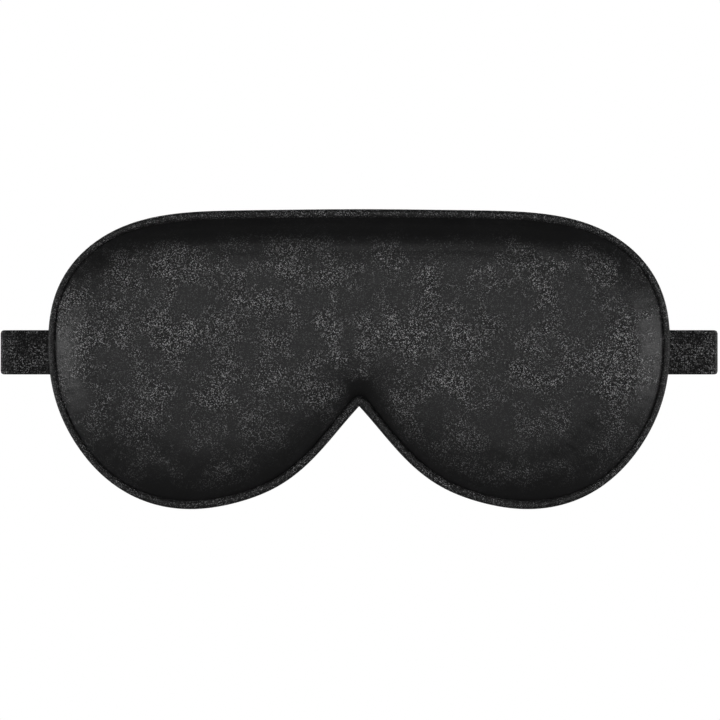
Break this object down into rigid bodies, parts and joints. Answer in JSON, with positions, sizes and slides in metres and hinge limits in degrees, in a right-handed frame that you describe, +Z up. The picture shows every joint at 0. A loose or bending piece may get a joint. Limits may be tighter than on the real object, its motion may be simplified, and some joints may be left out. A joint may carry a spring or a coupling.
{
  "type": "sleep eye mask",
  "caption": "Padded satin sleep mask with a nose notch, bound edge and an elastic head strap with a ring and a sliding adjuster.",
  "frame": {"origin": "where the wearer's side of the mask stands furthest back, on the centre line, level with the strap", "axes": "+X along the mask's width, +Y from the mask's front to the wearer, +Z up as worn"},
  "size_m": [0.2442, 0.0255, 0.1011],
  "materials": {
    "front_satin": "satin",
    "face_satin": "satin",
    "binding_satin": "satin",
    "strap_elastic": "woven",
    "wadding": "matte",
    "lining": "matte",
    "thread": "satin",
    "hardware_plastic": "satin"
  },
  "bodies": {
    "mask": {"front_cover": "front_satin", "front_padding": "wadding", "blackout_lining": "lining", "face_padding": "wadding", "face_cover": "face_satin", "edge_binding": "binding_satin", "right_strap_end": "strap_elastic", "left_strap_end": "strap_elastic", "right_strap_fold": "strap_elastic", "left_strap_fold": "strap_elastic"},
    "strap_back": {"left_strap_run": "strap_elastic", "right_strap_run": "strap_elastic"},
    "ring_end": {"left_strap_loop": "strap_elastic", "left_loop_bartack": "thread", "strap_ring": "hardware_plastic", "ring_turn": "strap_elastic", "doubled_outer_run": "strap_elastic", "doubled_inner_run": "strap_elastic"},
    "strap_slider": {"slider_frame": "hardware_plastic", "slider_loop": "strap_elastic", "slider_bartack": "thread", "strap_over_bar": "strap_elastic"}
  },
  "joints": [
    {"name": "head_loop_depth", "type": "slide", "parent": "mask", "child": "strap_back", "axis": [0, 1, 0], "range_m": [0, 0.032], "deforming": ["left_strap_fold", "right_strap_fold"]},
    {"name": "ring_travel", "type": "slide", "parent": "strap_back", "child": "ring_end", "axis": [-1, 0, 0], "range_m": [0, 0.032], "deforming": ["left_strap_run"]},
    {"name": "slider_travel", "type": "slide", "parent": "strap_back", "child": "strap_slider", "axis": [-1, 0, 0], "range_m": [0, 0.096], "deforming": ["right_strap_run", "doubled_outer_run", "doubled_inner_run"]}
  ],
  "couplings": [
    {"joint": "head_loop_depth", "follows": "slider_travel", "ratio": 0.3333},
    {"joint": "ring_travel", "follows": "slider_travel", "ratio": 0.3333}
  ]
}
